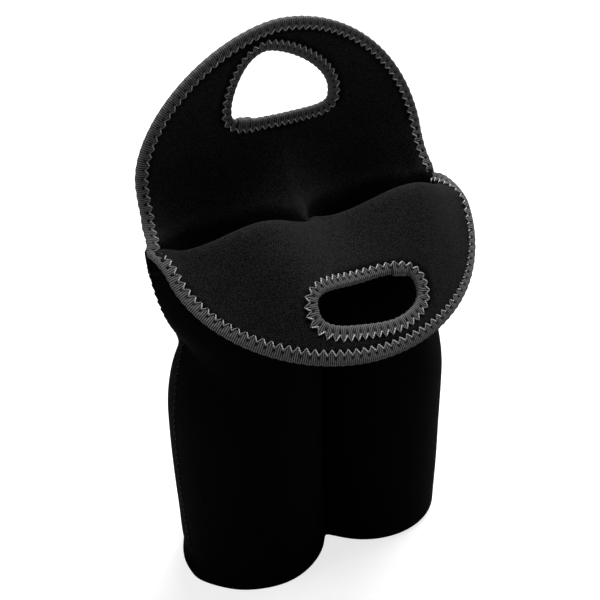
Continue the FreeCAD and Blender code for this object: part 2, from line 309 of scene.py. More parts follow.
sleeve = {
    "wall": 4.0, "web": 2.0, "columns": 181, "baseRows": 8, "wallRows": (7, 27, 50),
    "bodyTop": 110.0, "waist": 169.0, "mouth": 224.0,
    "halfWidths": (95.0, 90.0, 101.9), "depths": (48.0, 43.5, 28.0),
    "baseLift": 0.2, "baseRound": 5.0, "baseInsets": (0.2, 4.3), "baseSquareness": (0.2, 0.0),
    "baseTapers": (5.4, 2.0), "taperTop": 95.0, "taperPower": 1.5,
    "lobeShare": 46.5 / 95.0, "baseLobeShare": 46.0 / 95.0, "lobeRound": 0.8,
    "valleyRounds": (0.05, 0.02), "grooveTop": 45.0, "grooveInset": 2.6, "groovePlace": (-0.2, 0.2),
    "earReaches": (4.6, 1.6), "earWidth": 0.14, "earHeight": 3.5,
    "earForward": 7.0, "earForwardHeight": 12.0, "earForwardPower": 8,
    "creaseSlope": 65.0, "creaseRound": 2.0, "creaseWidth": 11.0, "creaseDepth": 5.0,
    "creaseFade": (0.55, 0.27), "creaseCore": 1.0,
    "mouthSpread": (1.6, 0.0), "rightBack": 11.0, "sideRaise": 6.5, "sidePower": 6, "sideSlope": 4.0,
    "sideStep": 2.8, "stepFrom": 190.0, "stepPower": 10, "pinchShare": 0.5,
}
ripple = {"height": 0.5, "across": 13.0, "slant": 31.0, "up": 23.0, "turn": 0.7, "fade": (8.0, 40.0)}
across = np.linspace(-1.0, 1.0, sleeve["columns"])[None, :]


# How far a height is from one of the sleeve's levels to another.
def between(z, low, high):
    return np.clip((z - sleeve[low]) / (sleeve[high] - sleeve[low]), 0.0, 1.0)


# A size that is level up the body, narrows to the waist and opens to the mouth. A sharp waist opens
# at once, as a quarter of a sine wave does.
def byHeight(values, z, sharp=False):
    body, waist, mouth = values
    opened = between(z, "waist", "mouth")
    high = np.sin(math.pi / 2.0 * opened) if sharp else ease(opened)
    return blendOf(blendOf(body, waist, ease(between(z, "bodyTop", "waist"))), mouth, high)


# A size that the left sleeve and the right sleeve don't share.
def eachSide(values, p):
    return blendOf(values[0], values[1], ease(sleeve["sideSlope"] * p + 0.5))


# Half width and depth of a sleeve at a height. The width is drawn in a little towards the base, and
# the left end of the mouth reaches further out.
def sleeveSize(p, z):
    low = np.clip(1.0 - z / sleeve["taperTop"], 0.0, 1.0)
    drawn = eachSide(sleeve["baseTapers"], p) * low ** sleeve["taperPower"]
    spread = eachSide(sleeve["mouthSpread"], p) * mouthShare(z)
    return byHeight(sleeve["halfWidths"], z, sharp=True) - drawn + spread, byHeight(sleeve["depths"], z)


def baseInset(p, z):
    turn = np.arccos(1.0 - np.clip(z / sleeve["baseRound"], 0.0, 1.0))
    return eachSide(sleeve["baseInsets"], p) * (1.0 - np.sin(turn))


# How far a height is from where the two cloths start to part, up to the mouth.
def mouthShare(z):
    return ease(between(z, "stepFrom", "mouth"))


# Both cloths at the right end of the mouth stand further back than at the left, and the left seam
# ends further forward at the base than it runs above.
def seamShift(p, z):
    left = np.maximum(-p, 0.0) ** sleeve["earForwardPower"]
    forward = sleeve["earForward"] * left * bell(z, 0.0, sleeve["earForwardHeight"])
    return sleeve["rightBack"] * np.maximum(p, 0.0) ** sleeve["sidePower"] * mouthShare(z) - forward


# Near the mouth the two ends of a row stand higher than its middle.
def raised(p, z):
    return z + sleeve["sideRaise"] * np.abs(p) ** sleeve["sidePower"] * mouthShare(z)


# Towards the mouth the outer end of a lobe goes from round to sharp, as two cloths sewn edge to
# edge do.
def lobeDepth(depth, turn, z, square=0.0):
    opened = ease(between(z, "waist", "mouth"))
    sharp = 1.0 + (opened - square) * ease((turn - math.pi / 2.0) / sleeve["lobeRound"])
    return depth * np.maximum(np.sin(turn), 0.0) ** sharp


# A crease runs in and down from each side at the waist. It pushes a wall in towards its sleeve's axis,
# least far from the crease, by an exponential.
def creased(p, z, x, y, middle):
    side = np.abs(p)
    below = np.hypot(z - sleeve["waist"] + sleeve["creaseSlope"] * (1.0 - side), sleeve["creaseRound"])
    pinch = sleeve["creaseDepth"] * np.exp((sleeve["creaseRound"] - below) / sleeve["creaseWidth"])
    pinch = pinch * rising(side, *sleeve["creaseFade"])
    fromAxis = x - np.sign(p) * middle
    length = np.maximum(np.hypot(fromAxis, y), sleeve["creaseCore"])
    return x - pinch * fromAxis / length, y - pinch * y / length


# Shallow waves of the outer face, which fade out towards the base and the sides.
def rippled(x, z, side):
    wave = ripple["height"] * np.sin(x / ripple["across"] + z / ripple["slant"])
    wave = wave * np.sin(z / ripple["up"] + ripple["turn"])
    return wave * rising(z, *ripple["fade"]) * (1.0 - side ** sleeve["sidePower"])


# Two round lobes side by side: x = middle - reach cos(turn), y = depth sin(turn). The seam's end
# stands out as an ear at the base, and at the mouth the two cloths lie side by side there.
def outerWall(p, z):
    up = ease(z / sleeve["grooveTop"])
    groove = sleeve["grooveInset"] * (1.0 - up) * bell(p, *sleeve["groovePlace"])
    width, depth = [size - baseInset(p, z) - groove for size in sleeveSize(p, z)]
    middle = width * blendOf(sleeve["baseLobeShare"], sleeve["lobeShare"], up)
    reach = width - middle
    first = np.arccos(middle / reach)
    side = np.abs(p)
    valley = blendOf(*sleeve["valleyRounds"], up)
    soft = np.sqrt(p * p + valley**2)
    turn = first + (math.pi - first) * np.minimum(soft / np.sqrt(1.0 + valley**2), 1.0)
    x = p / soft * (middle - reach * np.cos(turn))
    y = lobeDepth(depth, turn, z, eachSide(sleeve["baseSquareness"], p) * (1.0 - up))
    y = y + sleeve["sideStep"] * mouthShare(z) * side ** sleeve["stepPower"]
    ear = eachSide(sleeve["earReaches"], p) * bell(side, 1.0, sleeve["earWidth"])
    ear = ear * bell(z, 0.0, sleeve["earHeight"])
    wave = rippled(x, z, side)
    x, y = creased(p, z, x, y, middle)
    return x + np.sign(p) * ear, y + wave


# The inner face. The seam pinches the cloth to half its thickness at the ends of the mouth.
def innerWall(p, z):
    width, depth = [size - sleeve["wall"] for size in sleeveSize(p, z)]
    middle = (width + sleeve["web"]) / 2.0
    reach = (width - sleeve["web"]) / 2.0
    side = np.abs(p)
    turn = math.pi * side
    pinched = sleeve["pinchShare"] * sleeve["wall"] * mouthShare(z) * side ** sleeve["stepPower"]
    x = np.sign(p) * (middle - reach * np.cos(turn) + pinched)
    return creased(p, z, x, lobeDepth(depth, turn, z), middle)


# Rows of one sleeve cloth from the base seam out to the wall and up it, as middle points and half
# thickness vectors. The front cloth has face -1 and the back cloth +1 along Y.
def sleeveRows(face):
    spread = np.linspace(0.0, 1.0, sleeve["baseRows"], endpoint=False)[:, None]
    stops = (0.0, sleeve["baseRound"], sleeve["bodyTop"], sleeve["mouth"])
    spans = zip(stops, stops[1:], sleeve["wallRows"])
    levels = [np.linspace(low, high, rows, endpoint=False) for low, high, rows in spans]
    levels = np.append(np.concatenate(levels), sleeve["mouth"])
    z = levels[:, None]
    outX, outY = outerWall(across, z)
    inX, inY = innerWall(across, np.maximum(z, sleeve["baseRound"]))
    shift = seamShift(across, z)
    lift = sleeve["baseLift"] * (1.0 - ease(z / sleeve["baseRound"]))
    outer = stack(outX, face * outY + shift, raised(across, z) + lift)
    low = sleeve["wall"] + z * (1.0 - sleeve["wall"] / sleeve["baseRound"])
    inner = stack(inX, face * inY + shift, np.where(z < sleeve["baseRound"], low, raised(across, z)))
    outer = chained(stack(outX[:1], face * outY[:1] * spread + shift[:1], sleeve["baseLift"]), outer)
    inner = chained(stack(inX[:1], face * inY[:1] * spread + shift[:1], sleeve["wall"]), inner)
    heights = chained(np.zeros(len(spread)), levels)
    return (outer + inner) / 2.0, (outer - inner) / 2.0, heights


# Directions along a line of points.
def aheadOf(line, closed):
    if closed:
        return unit(np.roll(line, -1, axis=0) - np.roll(line, 1, axis=0))
    return unit(np.gradient(line, axis=0))


# The normal of a grid of points, from its two directions.
def gridNormal(points):
    return unit(np.cross(np.gradient(points, axis=1), np.gradient(points, axis=0)))


# The normal of a sheet over a plane, from small steps both ways.
def sheetNormal(sheetAt, x, run):
    step = 0.4
    sideways = sheetAt(x + step, run) - sheetAt(x - step, run)
    onward = sheetAt(x, run + step) - sheetAt(x, run - step)
    return unit(np.cross(sideways, onward))


# Where a line from the hand slot's centre towards each outline point crosses the slot's edge. The
# side towards the rim has a height and a sideways lean of its own, it stands further out on the
# right, and each corner has its own squareness.
def slotEdge(slot, x, run):
    away = run - slot["centre"]
    rimward = away > 0.0
    height = np.where(rimward, slot["rimHeight"], slot["rootHeight"])
    corners = [np.where(x > 0.0, *slot[key][::-1]) for key in ("rimSquareness", "rootSquareness")]
    power = np.where(rimward, *corners)
    share = (np.abs(x / slot["halfWidth"]) ** power + np.abs(away / height) ** power) ** (-1.0 / power)
    lean = slot["lean"] * np.maximum(away * share / slot["rimHeight"], 0.0) ** 2
    fuller = 1.0 + slot["rightFuller"] * ease(0.5 + x * share / slot["halfWidth"]) * rimward
    return slot["shift"] + x * share + lean, slot["centre"] + away * share * fuller


# The cloth is pressed thin beside a bound edge, with a band of painted shade just past the tape.
edgePress = {"thinShare": 0.68, "width": 8.5, "dark": 0.85, "shadePlace": (6.9, 1.8)}


def pressedHalf(distance):
    return sleeve["wall"] / 2.0 * blendOf(edgePress["thinShare"], 1.0, ease(distance / edgePress["width"]))


# Painted shade in a band on the cloth just past the tape's inner edge.
def edgeShade(distance):
    return edgePress["dark"] * bell(distance, *edgePress["shadePlace"])


# Distance of each column of a handle end's base line from the nearer bound side.
sideDistance = (1.0 - np.abs(across[0])) * sleeve["halfWidths"][2]
flatEdge = {"mouthShare": 0.12, "baseShare": 0.15, "columns": 16, "fade": (5.0, 12.0)}


# Rows laid flat beside their two bound sides: there each leaves the edge straight, square to it. The
# lining faces one way at the mouth and turns to its own normal at the handle end's base line.
def laidFlat(mid, half, mouthUps):
    share = np.linspace(0.0, 1.0, len(mid))[:, None]
    hold = ease(share / flatEdge["mouthShare"]) * ease((1.0 - share) / flatEdge["baseShare"])
    mid, half = mid.copy(), half.copy()
    for end, onward, mouthUp in zip((0, -1), (slice(None), slice(None, None, -1)), mouthUps):
        edge = mid[:, end]
        up = unit(blendOf(unit(np.array(mouthUp)), -unit(half[-1, end]), ease(share)))
        ahead = aheadOf(edge, False)
        aside = mid[:, onward][:, flatEdge["columns"]] - edge
        for known in (up, ahead):
            aside = aside - known * (aside * known).sum(axis=1, keepdims=True)
        away = wayAlong(mid[:, onward], axis=1)
        near = (hold * (1.0 - rising(away, *flatEdge["fade"])))[..., None]
        flat = edge[:, None] + unit(aside)[:, None] * away[..., None]
        thick = np.linalg.norm(half[:, onward], axis=2, keepdims=True)
        mid[:, onward] = blendOf(mid[:, onward], flat, near)
        half[:, onward] = blendOf(half[:, onward], -up[:, None] * thick, near)
    return mid, half


ringCrowding = 0.11


# Rings from a handle end's outline in to its hand slot, closest together at both: points, normals,
# runs and distances from the nearest bound edge.
def handleRings(sheetAt, slot, edgeX, edgeRun, rings):
    slotX, slotRun = slotEdge(slot, edgeX, edgeRun)
    even = np.linspace(0.0, 1.0, rings)[:, None]
    share = even - ringCrowding * np.sin(2.0 * math.pi * even)
    x = blendOf(edgeX[None, :], slotX[None, :], share)
    run = blendOf(edgeRun[None, :], slotRun[None, :], share)
    start = chained(sideDistance, np.zeros(len(edgeX) - len(sideDistance)))
    fromRim = start + np.hypot(x - edgeX, run - edgeRun)
    distance = np.minimum(fromRim, np.hypot(x - slotX, run - slotRun))
    return sheetAt(x, run), sheetNormal(sheetAt, x, run), run, distance


# One cloth as a closed shell: sleeve and fold rows, then rings round the hand slot.
def clothShell(name, rowMid, rowHalf, rowShare, ringMid, ringHalf, ringShare, rowShade, ringShade):
    rows, columns = rowMid.shape[:2]
    rings, around = ringMid.shape[:2]
    count = rows * columns + rings * around
    gridNumbers = np.arange(rows * columns).reshape(rows, columns)
    ringNumbers = rows * columns + np.arange(rings * around).reshape(rings, around)
    mid = chained(rowMid.reshape(-1, 3), ringMid.reshape(-1, 3))
    half = chained(rowHalf.reshape(-1, 3), ringHalf.reshape(-1, 3))
    layer = chained(quadsOf(gridNumbers), quadsOf(ringNumbers, closed=True))
    rim = chained(ringNumbers[0, columns - 1 :], ringNumbers[0, :1])
    slotLine = chained(ringNumbers[-1], ringNumbers[-1, :1])
    lines = [gridNumbers[0], gridNumbers[:, 0], gridNumbers[:, -1], rim, slotLine]
    edges = np.concatenate([quadsOf(np.stack([line, line + count])) for line in lines])
    girth = wayAlong(rowMid, axis=1)
    gridUv = np.stack([girth - girth[:, columns // 2, None], wayAlong(rowMid)], axis=-1).reshape(-1, 2)
    ringUv = np.stack([ringMid[..., 0], ringMid[..., 2] - ringMid[..., 1]], axis=-1).reshape(-1, 2)
    share = chained(np.repeat(rowShare, columns), ringShare.ravel())
    paintedShade = chained(rowShade.ravel(), ringShade.ravel())
    part = {
        "points": chained(mid + half, mid - half),
        "quads": chained(layer, layer + count, edges),
        "triangles": np.zeros((0, 3), int),
        "uv": chained(gridUv, ringUv, gridUv, ringUv),
        "shares": chained(share, share),
        "paintedShade": chained(paintedShade, paintedShade),
        "slots": chained(np.zeros(len(layer)), np.ones(len(layer) + len(edges))),
    }
    return meshObject(name, part, [blackJersey, liningJersey])


boundEdge = {"seamShare": 0.12, "steadyRows": 2, "archPower": 1.6, "rimPitch": 5.0, "slotPitch": 4.4}
edgeKeys = ("points", "normals", "shares", "ample")


# The edge of a cloth from one junction round the rim to the other, on its lining side. It starts
# beside the other cloth, and its first rows keep the normal of the row where the cloth has turned.
# Its tape has one width at the sides and another past the middle of the rim.
def rimEdge(rowMid, rowHalf, rowShare, ringMid, ringHalf, ringShare, firstRow, turn, tapeShares):
    columns = rowMid.shape[1]
    steady = np.maximum(np.arange(firstRow - 1, len(rowMid)), firstRow + boundEdge["steadyRows"])
    seamLine = np.array([[0.0, sleeve["rightBack"], 0.0], [0.0, 0.0, 0.0]])
    ends = seamLine + (rowMid[firstRow - 1, [-1, 0]] - seamLine) * (1.0, boundEdge["seamShare"], 1.0)
    right, left = rowMid[firstRow:, -1], rowMid[firstRow:, 0][::-1]
    points = chained(ends[:1], right, ringMid[0, columns:], left, ends[1:])
    halves = chained(rowHalf[steady, -1], ringHalf[0, columns:], rowHalf[steady, 0][::-1])
    risen = rowShare[firstRow - 1 :]
    shares = chained(risen, ringShare[0, columns:], risen[::-1])
    arch = np.linspace(0.0, 1.0, ringMid.shape[1] - columns) ** boundEdge["archPower"]
    ample = np.pad(blendOf(*tapeShares, np.sin(math.pi * arch) ** 2), len(risen), mode="edge")
    edge = {"points": points, "normals": -unit(halves), "shares": shares, "ample": ample}
    return {**edge, "closed": False, "turn": turn, "pitch": boundEdge["rimPitch"]}


# The edge of a hand slot, from the place where the tape's ends lap. The tape's width changes evenly
# from side to side and from root to rim.
def slotRing(slot, ringMid, ringHalf, ringShare, ringRun, turn):
    away = ringRun - slot["centre"]
    onward = away / np.where(away > 0.0, slot["rimHeight"], slot["rootHeight"])
    mean, aside, rimward = slot["tapeShares"]
    ample = mean + aside * (ringMid[..., 0] - slot["shift"]) / slot["halfWidth"] + rimward * onward
    start = int(slot["lapAt"] * sleeve["columns"])
    rings = {"points": ringMid, "normals": -unit(ringHalf), "shares": ringShare, "ample": ample}
    edge = {key: np.roll(ring[-1], -start, axis=0) for key, ring in rings.items()}
    return {**edge, "closed": True, "turn": turn, "pitch": boundEdge["slotPitch"]}


# Distance along an edge, measured where its stitches lie.
def stitchDistance(edge):
    inward = edge["turn"] * unit(np.cross(edge["normals"], aheadOf(edge["points"], edge["closed"])))
    line = edge["points"] + zigzag["near"] * inward
    return wayAlong(chained(line, line[:1]) if edge["closed"] else line)


# The edge resampled to a whole number of stitches, with its frame at each station.
def evenEdge(edge, perStitch):
    closing = 1 if edge["closed"] else 0
    points, normals, shares, ample = [chained(edge[k], edge[k][:closing]) for k in edgeKeys]
    along = stitchDistance(edge)
    stitches = int(round(along[-1] / edge["pitch"]))
    places = np.linspace(0.0, along[-1], stitches * perStitch + 1)
    places = places[:-1] if edge["closed"] else places
    line = np.stack([np.interp(places, along, points[:, k]) for k in range(3)], axis=1)
    up = unit(np.stack([np.interp(places, along, normals[:, k]) for k in range(3)], axis=1))
    return {
        "line": line,
        "up": up,
        "inward": edge["turn"] * unit(np.cross(up, aheadOf(line, edge["closed"]))),
        "along": places,
        "phase": np.arange(len(places)) / perStitch,
        "shares": np.interp(places, along, shares),
        "ample": np.interp(places, along, ample)[:, None],
        "closed": edge["closed"],
    }


# Rings of points along a line joined into a tube. Open ends are closed by fans.
def tubePart(rings, along, shares, closed):
    stations, sides = rings.shape[:2]
    numbers = np.arange(stations * sides).reshape(stations, sides)
    looped = chained(numbers, numbers[:1]) if closed else numbers
    points = rings.reshape(-1, 3)
    uv = np.stack(np.broadcast_arrays(along[:, None], wayAlong(rings[0])[None, :]), axis=-1).reshape(-1, 2)
    weights = np.repeat(shares, sides)
    triangles = np.zeros((0, 3), int)
    if not closed:
        hubs = np.arange(2)[:, None] + len(points)
        ends = numbers[[0, -1]]
        fans = np.stack([ends, np.roll(ends, -1, axis=1), np.broadcast_to(hubs, ends.shape)], axis=-1)
        triangles = fans.reshape(-1, 3)
        points = chained(points, rings[[0, -1]].mean(axis=1))
        uv = chained(uv, uv[[0, -1]])
        weights = chained(weights, weights[[0, -1]])
    quads = quadsOf(looped, closed=True)
    slots = np.zeros(len(quads) + len(triangles))
    part = {"points": points, "quads": quads, "triangles": triangles}
    return {**part, "uv": uv, "shares": weights, "slots": slots}


# Painted shade at the points of a tube's rings, with none at the hubs of its fans.
def withPaintedShade(part, paintedShade):
    return {**part, "paintedShade": np.append(paintedShade, np.zeros(len(part["points"]) - paintedShade.size))}


# Tape folded over an edge: a flat loop swept along it, each point so far into the cloth and so far
# up. The zigzag draws the tape's inner edge into small scallops and pits it where the needle goes in.
# The pits and a line across the step where a slot tape's ends lap are darkened with painted shade.
tape = {
    "into": (5.4, 5.5, 4.9, 4.3, 3.7, 3.0, 2.1, 0.9, -0.3, -0.9, -1.1),
    "rise": (1.2, 1.75, 2.05, 2.15, 2.2, 2.2, 2.2, 2.1, 1.8, 1.1, 0.0),
    "scallop": 1.0, "scallopFade": (2.5, 2.5), "pucker": 0.18, "perStitch": 10,
    "pitPlace": (2.7, 1.1), "pitLength": 0.17, "pitDepth": 0.9,
    "lap": 9.0, "lapStep": 1.5, "lapRise": 0.45, "lapDrop": 1.2, "dropFade": (-2.2, 2.5),
    "lapShade": 0.8, "lapShadeWidth": 0.7,
}


# Round a hand slot the tape's last end lies over its first.
def lapped(edge):
    count = np.searchsorted(stitchDistance(edge), tape["lap"])
    longer = {key: chained(edge[key], edge[key][:count]) for key in edgeKeys}
    return {**edge, **longer, "closed": False}


def tapeOn(name, edge):
    even = evenEdge(lapped(edge) if edge["closed"] else edge, tape["perStitch"])
    into = np.array(tape["into"] + tape["into"][-2::-1])
    rise = np.array(tape["rise"] + tuple(-r for r in tape["rise"][-2::-1]))
    wave = np.cos(2.0 * math.pi * even["phase"])[:, None]
    scallop = tape["scallop"] * wave * rising(into, *tape["scallopFade"])
    drawn = into * np.where(into > 0.0, even["ample"], 1.0)
    drawn = drawn + scallop + tape["pucker"] * wave * ease(-into)
    pastLap = even["along"] - even["along"][-1] + tape["lap"]
    lap = (ease(pastLap / tape["lapStep"] + 1.0) * edge["closed"])[:, None]
    drawn = drawn - tape["lapDrop"] * lap * rising(-into, *tape["dropFade"])
    midway = bell(even["phase"] % 1.0, 0.5, tape["pitLength"])
    pit = midway[:, None] * bell(into, *tape["pitPlace"])
    lifted = rise[None, :] * (1.0 + tape["lapRise"] * lap) - np.sign(rise) * tape["pitDepth"] * pit
    rings = even["line"][:, None] + even["inward"][:, None] * drawn[..., None]
    rings = rings + even["up"][:, None] * lifted[..., None]
    part = tubePart(rings, even["along"], even["shares"], even["closed"])
    # Painted shade in the needle pits and in a line across the lap's step.
    cut = tape["lapShade"] * bell(pastLap, -tape["lapStep"], tape["lapShadeWidth"]) * edge["closed"]
    return meshObject(name, withPaintedShade(part, np.maximum(pit, cut[:, None])), [greyTape])


threadSides = 6


# A round thread along a line of points, with a direction across it at each.
def threadPart(line, up, radius, shares, closed=False):
    ahead = aheadOf(line, closed)
    side = unit(np.cross(ahead, up))
    top = np.cross(side, ahead)
    turns = np.linspace(0.0, 2.0 * math.pi, threadSides, endpoint=False)[None, :, None]
    rings = line[:, None] + radius * (np.cos(turns) * side[:, None] + np.sin(turns) * top[:, None])
    return tubePart(rings, wayAlong(line), shares, closed)


# Zigzag thread over the tape's inner edge, on both faces. It dips into the cloth at each corner, and
# on the outer face it sinks in where the two cloths meet. One leg of each stitch and both its ends
# are darkened with painted shade.
zigzag = {
    "near": 3.6, "far": 6.6, "onTape": 2.2, "onCloth": 1.9, "dip": 0.5, "dipPower": 6,
    "radius": 0.32, "bedShare": 0.5, "perStitch": 12, "sunkLength": 12.0,
    "shadedLeg": 0.68, "legSlope": 4.0, "shadedEnds": 0.55, "endPower": 4,
}


def zigzagOn(name, edge):
    even = evenEdge(edge, zigzag["perStitch"])
    phase, along = even["phase"] % 1.0, even["along"]
    swing = 2.0 * np.abs(phase - 0.5)
    corner = np.abs(2.0 * swing - 1.0)
    into = blendOf(zigzag["near"], zigzag["far"], swing)
    rise = blendOf(zigzag["onTape"], zigzag["onCloth"], swing) - zigzag["dip"] * corner ** zigzag["dipPower"]
    nearest = np.minimum(along - tape["lap"], along[-1] - along)
    lap = ease(1.0 - nearest / tape["lapStep"]) * edge["closed"]
    rise = rise * (1.0 + tape["lapRise"] * lap) + zigzag["radius"] * zigzag["bedShare"]
    # Painted shade on one leg of each stitch and at the corners where the thread goes into the cloth.
    leg = ease(0.5 + zigzag["legSlope"] * (0.5 - np.abs(phase - 0.25) * 2.0))
    threadShade = np.maximum(zigzag["shadedLeg"] * leg, zigzag["shadedEnds"] * corner ** zigzag["endPower"])
    toEnd = np.minimum(along, along[-1] - along)
    sunk = edge["closed"] + (1.0 - edge["closed"]) * ease(toEnd / zigzag["sunkLength"])
    parts = []
    for rises in (rise, -rise * sunk):
        line = even["line"] + even["inward"] * even["ample"] * into[:, None] + even["up"] * rises[:, None]
        part = threadPart(line, even["up"], zigzag["radius"], even["shares"], even["closed"])
        parts.append(withPaintedShade(part, np.repeat(threadShade, threadSides)))
    return meshObject(name, joined(parts), [greyThread])


# The outline of a handle end: its base line, spread as the mouth below it is, then from right to left an
# oval whose cosine and sine are raised to a power that sets how square it is. Each side has its own
# width, shoulder and power.
def outlineOf(end, mouthX):
    sides = list(zip(end["rimHalfWidths"], end["rimShoulders"], end["rimSquareness"]))
    starts = [((end["base"] - low) / (end["rimTop"] - low)) ** (square / 2.0) for wide, low, square in sides]
    turn = np.linspace(math.asin(starts[1]), math.pi - math.asin(starts[0]), end["rimPoints"])
    wide, low, square = [np.where(turn > math.pi / 2.0, *pair) for pair in zip(*sides)]
    x = wide * np.sign(np.cos(turn)) * np.abs(np.cos(turn)) ** (2.0 / square)
    rise = low + (end["rimTop"] - low) * np.maximum(np.sin(turn), 0.0) ** (2.0 / square)
    baseX = np.where(mouthX < 0.0, mouthX / mouthX[0] * x[-1], mouthX / mouthX[-1] * x[0])
    baseRun = np.full(len(baseX), end["base"])
    return chained(baseX, x[1:-1]), chained(baseRun, rise[1:-1])


# The cloth of one face with its tapes and threads: sleeve rows, fold rows that are pressed thin past
# the mouth, and the handle end. Each place's share of the bend is measured along the cloth.
def handleEnd(label, face, sheetAt, end, slot, sleeves, outline, foldMid, thinned):
    mid, half, heights = sleeves
    firstRow = len(mid)
    foldNormal = -face * gridNormal(chained(mid[-2:], foldMid))[2:]
    foldHalf = blendOf(half[-1], foldNormal * pressedHalf(sideDistance)[:, None], thinned[..., None])
    # Painted shade beside the bound sides of the fold rows.
    paintedShade = chained(np.zeros(mid.shape[:2]), edgeShade(sideDistance) * thinned)
    ringMid, normal, run, distance = handleRings(sheetAt, slot, *outline, end["rings"])
    ringHalf = -face * normal * pressedHalf(distance)[..., None]
    foldHalf[-1] = ringHalf[0, : sleeve["columns"]]
    foldMid, foldHalf = laidFlat(foldMid, foldHalf, end["mouthUps"])
    mid, half = chained(mid, foldMid), chained(half, foldHalf)
    foldEnd = sleeve["mouth"] + end["foldLength"]
    levels = np.append(heights, np.linspace(sleeve["mouth"], foldEnd, len(foldMid) + 1)[1:])
    share = rising(levels, *end["bendSpan"])
    ringShare = rising(foldEnd - end["base"] + run, *end["bendSpan"])
    shell = (mid, half, share, ringMid, ringHalf, ringShare)
    rim = rimEdge(*shell, firstRow, face, end["tapeShares"])
    slotLine = slotRing(slot, ringMid, ringHalf, ringShare, run, -face)
    cloth = clothShell(label + "Cloth", *shell, paintedShade, edgeShade(distance))
    bent = [cloth, tapeOn(label + "RimTape", rim), zigzagOn(label + "RimThread", rim)]
    carried = [tapeOn(label + "SlotTape", slotLine), zigzagOn(label + "SlotThread", slotLine)]
    for piece in bent:
        bendWith(piece, label + "_handle", **end["bend"])
    for piece in carried:
        rideOn(piece, label + "_handle")
    print(label, "cloth made")
    return bent + carried


# Front cloth: sleeves, a soft fold over the mouth and the handle end hanging forward

front = {
    "tilt": math.radians(34.3), "rootY": -1.6, "rootZ": 233.3,
    "halfWidth": 102.0, "shoulder": 15.0, "arch": 87.0, "base": 24.0,
    "crest": 5.0, "lobe": 29.0, "bulge": 9.0,
    "rightLift": 4.0, "liftPlace": (22.0, 30.0), "rightFlat": 0.7, "flatPower": 4,
    "rimHalfWidths": (99.8, 100.4), "rimShoulders": (16.9, 15.0), "rimTop": 101.8,
    "rimSquareness": (1.96, 1.995), "rimPoints": 241, "rings": 28, "tapeShares": (1.0, 1.2),
    "basePull": 10.0, "lobePull": 30.0, "centrePull": 16.0, "centrePower": 4,
    "endPulls": (10.0, 20.0), "endPower": 8, "endRises": (0.15, 0.55), "endFade": (0.8, 0.2),
    "landingSteps": (-0.5, 0.0, 0.5), "rows": 26, "thinShare": 0.15,
    "mouthUps": ((0.0, 0.2, 1.0), (-0.7, -0.1, 0.8)),
    "foldLength": 46.0, "bendSpan": (205.0, 81.0),
    "bend": {"start": (0.0, -0.010, 0.226), "end": (0.0, -0.038, 0.232)},
}
frontSlot = {
    "halfWidth": 33.5, "centre": 70.6, "rootHeight": 12.6, "rimHeight": 12.4,
    "rootSquareness": (3.2, 2.5), "rimSquareness": (2.35, 2.6), "rightFuller": 0.24,
    "lean": 0.0, "shift": 0.0, "lapAt": 0.99, "tapeShares": (1.06, -0.17, 0.1),
}


# Rise off the tilted plane: a crest of two lobes that falls to the rim, levelling out on the right, a
# smooth bulge, and a lift of the right edge near its root.
def frontSheet(x, run):
    aside = np.clip(np.abs(x) / front["halfWidth"], 0.0, 1.0)
    rightward = ease(x / front["halfWidth"])
    arch = front["shoulder"] + front["arch"] * np.sqrt(np.maximum(1.0 - aside**2, 0.0))
    share = run / np.maximum(arch, front["base"])
    crest = front["crest"] + front["lobe"] * np.sin(math.pi * aside) ** 2
    bulge = front["bulge"] * np.cos(math.pi / 2.0 * aside) ** 2
    lift = front["rightLift"] * rightward * bell(run, *front["liftPlace"])
    level = front["rightFlat"] * rightward * np.clip(share, 0.0, 1.0) ** front["flatPower"]
    rise = crest * ((1.0 - share) * (1.0 - level)) + 4.0 * bulge * share * (1.0 - share) + lift
    cosine, sine = math.cos(front["tilt"]), math.sin(front["tilt"])
    return stack(x, front["rootY"] - run * cosine - rise * sine, front["rootZ"] - run * sine + rise * cosine)


frontSleeves = sleeveRows(-1.0)
foot = frontSleeves[0][-1]
frontOutline = outlineOf(front, foot[:, 0])
baseX = frontOutline[0][: sleeve["columns"]]

# Fold: at each column a smooth curve that leaves the mouth upward and lands along the handle end. At
# the two ends, where the cloths are sewn together, it leaves forward.
before, root, after = [frontSheet(baseX, front["base"] + step) for step in front["landingSteps"]]
t = np.linspace(0.0, 1.0, front["rows"] + 1)[1:, None, None]
side = np.abs(across[0])
pull = front["basePull"] + front["lobePull"] * np.sin(math.pi * side)
pull = pull + front["centrePull"] * (1.0 - side) ** front["centrePower"]
pull = (pull + eachSide(front["endPulls"], across[0]) * side ** front["endPower"])[:, None]
ending = stack(0.0, -1.0, eachSide(front["endRises"], across[0]))
leaving = unit(blendOf(np.array([0.0, 0.0, 1.0]), ending, rising(side, *front["endFade"])[:, None]))
foldMid = (
    (2 * t**3 - 3 * t**2 + 1) * foot
    + (t**3 - 2 * t**2 + t) * pull * leaving
    + (3 * t**2 - 2 * t**3) * root
    + (t**3 - t**2) * pull * unit(after - before)
)
thinned = ease(t[..., 0] / front["thinShare"])
frontForm = (frontSleeves, frontOutline, foldMid, thinned)
frontPieces = handleEnd("front", -1.0, frontSheet, front, frontSlot, *frontForm)
frontCloth, frontRimTape, frontRimThread, frontSlotTape, frontSlotThread = frontPieces


# Back cloth: sleeves and the handle end that stands up behind

